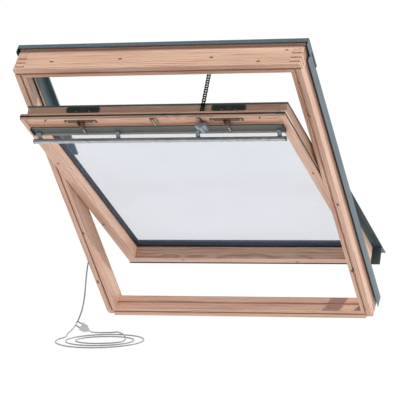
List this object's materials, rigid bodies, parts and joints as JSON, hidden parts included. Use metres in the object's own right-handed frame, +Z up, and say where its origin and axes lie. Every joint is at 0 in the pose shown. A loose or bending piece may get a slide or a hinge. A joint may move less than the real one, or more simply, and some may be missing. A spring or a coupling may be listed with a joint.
{
  "type": "roof skylight",
  "caption": "Centre-pivot timber roof window standing ajar, with double glazing, metal cladding, a chain opener, a ventilation flap, a control bar and a mains cord.",
  "frame": {"origin": "centre of the outer face of the frame's bottom rail, which bears on the sill of the roof opening", "axes": "+X to the right as seen from the room, +Z up, +Y away from the room; the window is pitched 53 degrees with its head towards -Y"},
  "size_m": [1.1968, 1.2374, 1.2033],
  "materials": {
    "frame_pine": "clear lacquered pine",
    "sash_pine": "clear lacquered pine",
    "stop_pine": "clear lacquered pine",
    "frame_cladding": "grey lacquered sheet",
    "sash_cladding": "grey lacquered sheet",
    "gasket_rubber": "black weather seal",
    "clear_glass": "clear float glass",
    "spacer_metal": "dark anodised",
    "steel_fitting": "zinc plated",
    "screw_steel": "bright zinc plated",
    "chain_steel": "oiled dark steel",
    "brass_fitting": "plain brass",
    "opener_metal": "dark grey",
    "circuit_board": "printed circuit board",
    "dark_moulding": "dark moulded plastic",
    "hinge_bronze": "bronze toned",
    "flap_metal": "grey lacquered profile",
    "lock_metal": "light grey",
    "bar_metal": "satin anodised",
    "cord_sheath": "white flexible sheath",
    "plug_plastic": "pale moulded plastic",
    "plug_blade": "dark pins"
  },
  "bodies": {
    "frame": {"frame_top_rail": "frame_pine", "frame_bottom_rail": "frame_pine", "frame_left_stile": "frame_pine", "frame_right_stile": "frame_pine", "frame_top_stops": "stop_pine", "frame_left_stop": "stop_pine", "frame_right_stop": "stop_pine", "frame_gasket": "gasket_rubber", "frame_head_cover": "frame_cladding", "frame_left_cover": "frame_cladding", "frame_right_cover": "frame_cladding", "frame_bottom_cover": "frame_cladding", "opener_casing": "opener_metal", "opener_motor": "opener_metal", "opener_gearbox": "opener_metal", "opener_board": "circuit_board", "chain_sprocket": "steel_fitting", "pivot_pin_left": "steel_fitting", "pivot_pin_right": "steel_fitting", "frame_screws": "screw_steel", "supply_lead": "cord_sheath", "cord_clamp": "cord_sheath", "cord_tube": "cord_sheath", "cord_coil": "cord_sheath", "plug_body": "plug_plastic", "plug_blades": "plug_blade"},
    "sash": {"sash_top_rail": "sash_pine", "sash_bottom_rail": "sash_pine", "sash_left_stile": "sash_pine", "sash_right_stile": "sash_pine", "sash_gasket": "gasket_rubber", "sash_top_cover": "sash_cladding", "sash_left_cover": "sash_cladding", "sash_right_cover": "sash_cladding", "sash_bottom_cover": "sash_cladding", "sash_screws": "screw_steel", "inner_pane": "clear_glass", "outer_pane": "clear_glass", "pane_spacer": "spacer_metal", "glazing_gasket": "gasket_rubber", "pivot_plate_left": "steel_fitting", "pivot_plate_right": "steel_fitting", "chain_bracket": "steel_fitting", "chain_pin": "brass_fitting", "vent_cover_left": "dark_moulding", "vent_cover_right": "dark_moulding", "flap_base_left": "hinge_bronze", "flap_base_right": "hinge_bronze", "latch_pin": "brass_fitting", "centre_stud": "hinge_bronze"},
    "flap": {"ventilation_flap": "flap_metal", "flap_arm_left": "hinge_bronze", "flap_arm_right": "hinge_bronze", "flap_end_caps": "dark_moulding", "lock_case": "lock_metal", "control_bar": "bar_metal", "bar_brackets": "flap_metal", "bar_end_caps": "flap_metal", "flap_screws": "screw_steel"},
    "chain": {"push_chain": "chain_steel"}
  },
  "joints": [
    {"name": "sash_pivot", "type": "hinge", "parent": "frame", "child": "sash", "pos_m": [0, -0.41683, 0.63126], "axis": [1, 0, 0], "range_deg": [-18.5, 0]},
    {"name": "flap_hinge", "type": "hinge", "parent": "sash", "child": "flap", "pos_m": [0, -0.92134, 0.87], "axis": [1, 0, 0], "range_deg": [-20, 0]},
    {"name": "chain_swing", "type": "hinge", "parent": "frame", "child": "chain", "pos_m": [0.19, -0.78648, 1.06862], "axis": [1, 0, 0], "range_deg": [-9.25, 0], "deforming": ["push_chain"]}
  ],
  "couplings": [
    {"joint": "chain_swing", "follows": "sash_pivot", "ratio": 0.5}
  ]
}
